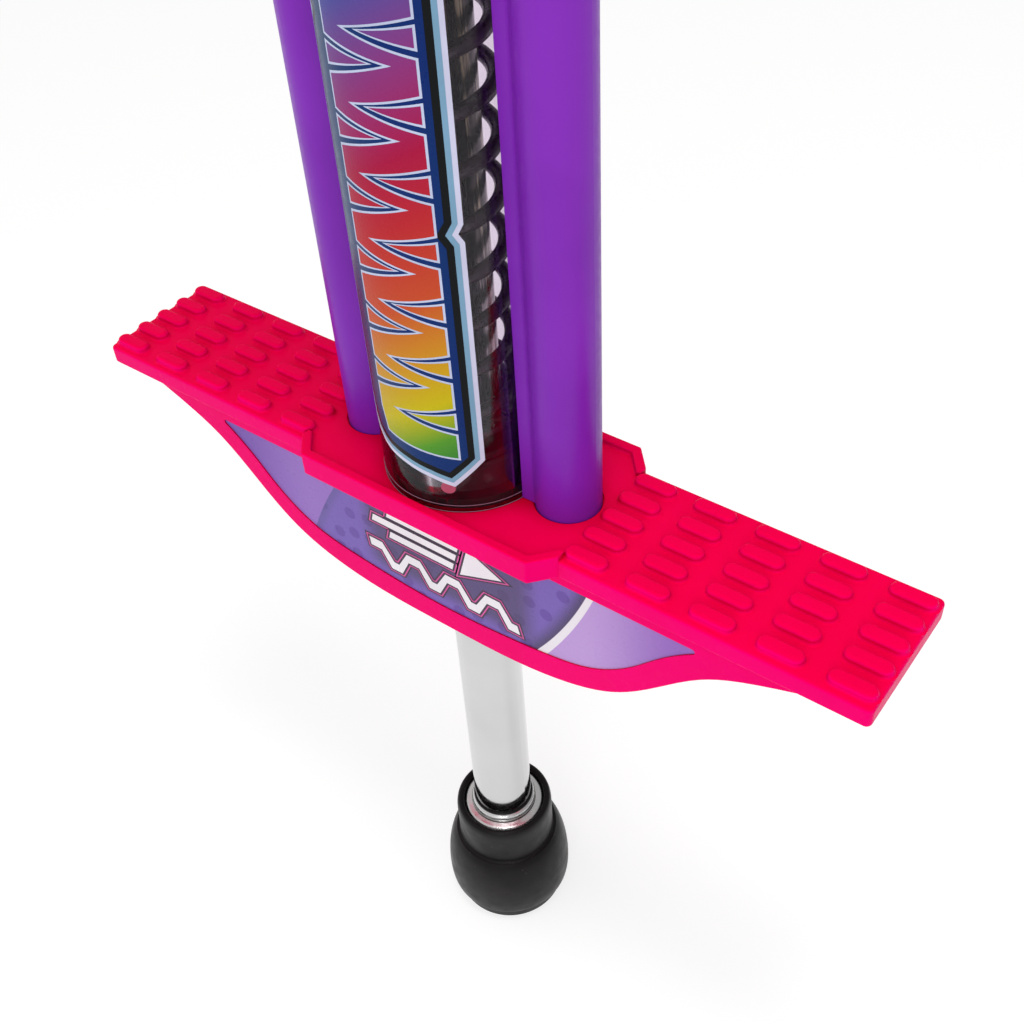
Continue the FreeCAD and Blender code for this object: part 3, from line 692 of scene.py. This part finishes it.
# ---------------------------------------------------------------- foot
def rubber_foot():
    """Foot with a thick tread, a moulding step above it, a long neck and a rolled mouth."""
    sole = [(0, 0), (8, 0), (8, 0.5), (10, 0.5), (10, 0), (15, 0), (15, 0.5), (17, 0.5), (17, 0)]
    tread = [(23.8, 0), (24.4, 0.3), (24.6, 1.0), (24.9, 4.4), (25.1, 7.6)]
    step = [(25.1, 7.6), (25.3, 8.0), (26.7, 8.1), (27.3, 8.8), (27.7, 11.5)]
    body = [(27.7, 11.5), (27.9, 15), (27.8, 21), (27.1, 28.5), (25.9, 34.5), (24.5, 38.8)]
    body.append((22.9, 41.4))
    neck = [(22.9, 41.4), (21.5, 41.9), (21.35, 44.0), (21.3, 50), (21.3, 57)]
    lip = [(21.3, 57), (21.2, 60), (20.7, 62.1), (19.7, 62.95), (18.6, 62.7), (17.9, 61.6)]
    lip += [(17.65, 59.5), (17.6, 57)]
    profile = sole
    for stretch, steps in ((tread, 4), (step, 4), (body, 5), (neck, 4), (lip, 5)):
        profile += smooth_path(stretch, steps)[:-1]
    profile += [(17.6, 55.2), (12.6, 55.2), (12.6, 12.1), (0, 12.1)]
    mesh = lathe("rubber_foot", profile, (0, 0, TIP_LOW.z), (0, 0, 1), 128)
    foot = new_piece("rubber_foot", mesh, MATERIALS["black_rubber"], "plunger")
    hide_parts("rubber_tip")


def chrome_ferrule():
    """Flared ring in the mouth of the foot, then a collar up the shaft."""
    washer = [(17.3, 55.3), (17.3, 60.4), (17.1, 61.2), (16.5, 61.6), (15.3, 61.9), (14.4, 62.1)]
    washer.append((13.9, 61.9))
    bead = [(13.9, 61.9), (13.95, 62.4), (14.2, 63.1), (14.15, 64.2), (13.7, 65.3), (12.9, 65.9)]
    profile = [(12.6, 55.3)] + smooth_path(washer, 4)[:-1] + smooth_path(bead, 4)
    mesh = lathe("chrome_ferrule", profile, (0, 0, 0), (0, 0, 1), 128)
    ring = new_piece("chrome_ferrule", mesh, FERRULE_CHROME, "plunger")
    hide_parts("tip_ferrule")


def painted_edge_rings():
    """Painted highlights on the clear tube's two polished edges: thin opaque rings at its foot."""
    low = TUBE_LOW.z / MM
    bead, sides = 0.10, 8
    centre = TUBE_RADIUS / MM + 0.05
    # painted highlight: opaque rings coloured like the glint on the tube's edges
    edge = film("painted_highlight_film", (0.34, 0.16, 0.24))
    for k, height in enumerate((0.35, 3.0)):
        ring = []
        for i in range(sides + 1):
            angle = 2 * math.pi * i / sides
            ring.append((centre + bead * math.cos(angle), height + bead * math.sin(angle)))
        name = "painted_edge_highlight_%d" % (k + 1)
        mesh = lathe(name, ring, (0, 0, low * MM), (0, 0, 1), 128)
        new_piece(name, mesh, edge, "housing")


# ---------------------------------------------------------------- handlebar ends
def ribbed_grip(side):
    """Soft sleeve: a rounded flange, twelve soft ribs and a thicker outer end."""
    start = GRIP_LOW.x / MM
    length = (GRIP_HIGH.x - GRIP_LOW.x) / MM
    bore = (BAR_HIGH.z - BAR_Z) / MM + 0.05
    flange = [(17.0, 0.2), (19.2, 0.5), (19.9, 2.0), (19.2, 3.6), (17.2, 4.2), (15.0, 5.6)]
    flange.append((14.4, 7.6))
    rib = [(14.3, 0.0), (15.1, 0.9), (15.4, 2.0), (15.1, 3.1), (14.3, 4.1)]
    first, pitch, count = 9.0, 5.2, 12
    ribs = [(r, first + pitch * k + along) for k in range(count) for r, along in rib]
    end = [(14.3, length - 9.0), (15.2, length - 7.0), (15.45, length - 4.0)]
    end += [(15.3, length - 1.2), (14.6, length)]
    mouth = (bore, 0.2)
    outline = [mouth] + smooth_path(flange + ribs + end, 3) + [(bore, length), mouth]
    name = "left_ribbed_grip" if side < 0 else "right_ribbed_grip"
    mesh = lathe(name, outline, (side * start * MM, 0, BAR_Z), (side, 0, 0), 72)
    grip = new_piece(name, mesh, MATERIALS["grip_rubber"], "housing")
    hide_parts("left_grip" if side < 0 else "right_grip")


def domed_plug(side):
    """End plug: a stem inside the bar and a low dome over its end."""
    start = PLUG_LOW.x / MM
    length = (PLUG_HIGH.x - PLUG_LOW.x) / MM
    thickness = 3.0
    cap = length - thickness
    dome = [(14.3, cap + 0.1), (14.45, cap + 0.9), (13.9, cap + 1.8), (11.5, cap + 2.5)]
    dome += [(7.0, cap + 2.9), (3.0, cap + thickness)]
    outline = [(0, 0.1), (8.8, 0.1), (9.3, 0.8), (9.3, cap)] + smooth_path(dome, 4)
    outline.append((0, cap + thickness))
    name = "left_domed_plug" if side < 0 else "right_domed_plug"
    mesh = lathe(name, outline, (side * start * MM, 0, BAR_Z), (side, 0, 0), 72)
    plug = new_piece(name, mesh, MATERIALS["black_plastic"], "housing")
    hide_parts("left_end_plug" if side < 0 else "right_end_plug")


# ---------------------------------------------------------------- printed art
def inset(points, distance):
    """Moves an anticlockwise outline's sides inwards by a distance, outwards if it is negative."""
    moved = []
    count = len(points)
    for i in range(count):
        here = Vector(points[i])
        before, after = Vector(points[i - 1]), Vector(points[(i + 1) % count])
        a = (here - before).normalized()
        b = (after - here).normalized()
        normal = Vector((-a.y - b.y, a.x + b.x))
        reach = distance * 2.0 / max(normal.length_squared, 0.3)
        moved.append(tuple(here + normal * reach))
    return moved


GRAPHIC_MIDDLE = math.radians(-87.0)     # azimuth of the middle of the graphic
GRAPHIC_TOP = 510.0
GRAPHIC_BOTTOM = 274.5
FILM_STEP = 0.03                         # each printed layer stands this much proud of the last
STRIP = 1.2                              # width of the flat strips that a layer is cut into


def wrapped(name, outlines, layer):
    """Flat outlines, (arc length, height) in millimetres, laid round the clear tube as strips."""
    radius = TUBE_RADIUS / MM + FILM_STEP * (layer + 1)
    mesh = bmesh.new()
    for outline in outlines:
        mesh.faces.new([mesh.verts.new((u, 0, z)) for u, z in outline])
    reach = max(abs(u) for outline in outlines for u, z in outline)
    for k in range(-int(reach / STRIP) - 1, int(reach / STRIP) + 2):
        everything = list(mesh.verts) + list(mesh.edges) + list(mesh.faces)
        cut = (k * STRIP, 0, 0)
        bmesh.ops.bisect_plane(mesh, geom=everything, plane_co=cut, plane_no=(1, 0, 0), dist=1e-4)
    bmesh.ops.triangulate(mesh, faces=list(mesh.faces))
    for vert in mesh.verts:
        angle = GRAPHIC_MIDDLE + vert.co.x * MM / TUBE_RADIUS
        vert.co = Vector((radius * math.cos(angle), radius * math.sin(angle), vert.co.z)) * MM
    bmesh.ops.recalc_face_normals(mesh, faces=mesh.faces)
    for face in mesh.faces:
        if face.normal.dot(face.calc_center_median() * Vector((1, 1, 0))) < 0:
            face.normal_flip()
    return finished(mesh, name)


def shield():
    """Outline of the graphic: its lower half, and the same turned half round for the upper."""
    lower = [
        (-24.0, 300.0), (-21.8, 290.0), (-18.7, 285.6), (-13.7, 282.6), (-10.0, 281.3),
        (-3.0, 279.9), (5.6, 277.6), (13.9, GRAPHIC_BOTTOM), (24.2, 284.6), (24.0, 362.0),
        (22.4, 364.8), (24.0, 367.5),
    ]
    middle = (GRAPHIC_BOTTOM + GRAPHIC_TOP) / 2
    return lower + [(-u, 2 * middle - z) for u, z in lower]


def graphic_shapes():
    """A zigzag like a spring up the middle of the graphic, with a wedge in each of its gaps."""
    left_u, right_u = -11.4, 16.0
    pitch, thickness = 19.6, 9.0
    first, turns = 286.5, 10
    gap = pitch - thickness
    right, left, wedges = [], [], []
    for k in range(turns):
        z = first + pitch * k
        top = z + thickness
        right_notch = top + gap / 2 + 1.2
        right += [(right_u, z), (right_u, top), (left_u + 6.2, right_notch)]
        wedges.append([
            (right_u, top + 3.0), (right_u, z + pitch - 2.6), (left_u + 13.0, right_notch),
        ])
        z += pitch / 2 + 2.4
        top = z + thickness
        left_notch = top + gap / 2 + 0.6
        left += [(left_u, z), (left_u, top), (right_u - 6.2, left_notch)]
        wedges.append([
            (left_u, top + 3.0), (right_u - 13.0, left_notch), (left_u, z + pitch - 2.6),
        ])
    ribbon = [(left_u + 2.0, first + 4.0)] + right[:-1] + left[:-1][::-1]
    return [ribbon] + wedges[:-1]


def tube_art():
    """The graphic as printed layers: pale border, two bands, blue field, outlines and shapes."""
    outline = shield()
    shapes = graphic_shapes()
    layers = [
        ("graphic_border", [outline], MATERIALS["graphic_print"]),
        ("graphic_pale_band", [inset(outline, 1.5)], film("graphic_pale_blue", linear("7CA6C2"))),
        ("graphic_black_band", [inset(outline, 3.1)], film("graphic_black", linear("0A0D0F"))),
        ("graphic_field", [inset(outline, 5.2)], blue_film()),
        (
            "graphic_outlines",
            [inset(shape, -0.7) for shape in shapes],
            film("graphic_line", linear("C3CCE8")),
        ),
        ("graphic_shapes", shapes, rainbow_film()),
    ]
    for layer, (name, outlines, material) in enumerate(layers):
        mesh = wrapped(name, outlines, layer)
        piece = new_piece(name, mesh, material, "housing")
        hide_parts("tube_graphic")


def flat_art(name, outlines, side, proud):
    """Flat outlines, (x, z) in millimetres as seen from outside, laid on a label panel."""
    y = (LABEL_LOW.y - proud * MM) * -side
    mesh = bmesh.new()
    for outline in outlines:
        mesh.faces.new([mesh.verts.new((x * MM * -side, y, z * MM)) for x, z in outline])
    bmesh.ops.triangulate(mesh, faces=list(mesh.faces))
    for face in mesh.faces:
        if face.normal.y * y < 0:
            face.normal_flip()
    return finished(mesh, name, smooth=False)


def emblem():
    """An arrowhead with speed lines behind it, and a wave like a spring below."""
    def slanted(points):
        return [(x + 0.3 * (z - 236.0), z) for x, z in points]

    arrow = slanted([(11.5, 228.8), (28.0, 236.0), (11.5, 243.2)])
    lines = []
    for start, z in ((-21.0, 229.4), (-30.0, 234.4), (-24.0, 239.4)):
        lines.append(slanted([(start, z), (8.0, z), (8.0, z + 3.2), (start, z + 3.2)]))
    low, high = [], []
    x = -33.0
    for k in range(8):
        z = 213.0 if k % 2 else 220.6
        low += [(x, z), (x + 5.0, z)]
        start, end = (1.6, 4.0) if k % 2 else (-0.4, 5.8)
        high += [(x + start, z + 4.0), (x + end, z + 4.0)]
        x += 8.9
    return [arrow, low + high[::-1]] + lines


def label_art():
    """The emblem on both labels: shadow, pink outline, dark gap and white shapes."""
    white = film("emblem_white", linear("F1EDF3"), 0.03)
    pink = film("emblem_pink", linear("DE5BA6"))
    dark = film("emblem_dark", linear("4A3A50"))
    shapes = emblem()
    layers = [
        ("_emblem_shadow", -1.9, dark), ("_emblem_outline", -1.3, pink),
        ("_emblem_gap", -0.8, dark), ("_emblem_shapes", 0.0, white),
    ]
    for side, panel in ((-1, "front"), (1, "back")):
        for k, (layer, distance, material) in enumerate(layers):
            name = panel + layer
            outlines = [inset(shape, distance) for shape in shapes]
            mesh = flat_art(name, outlines, side, FILM_STEP * (k + 1))
            new_piece(name, mesh, material, "housing")


# ---------------------------------------------------------------- everything
place_camera()
light_the_scene()
lay_floor()
dress_nodes()
coil_spring()
rubber_foot()
chrome_ferrule()
painted_edge_rings()
for hand in (-1, 1):
    ribbed_grip(hand)
    domed_plug(hand)
tube_art()
label_art()
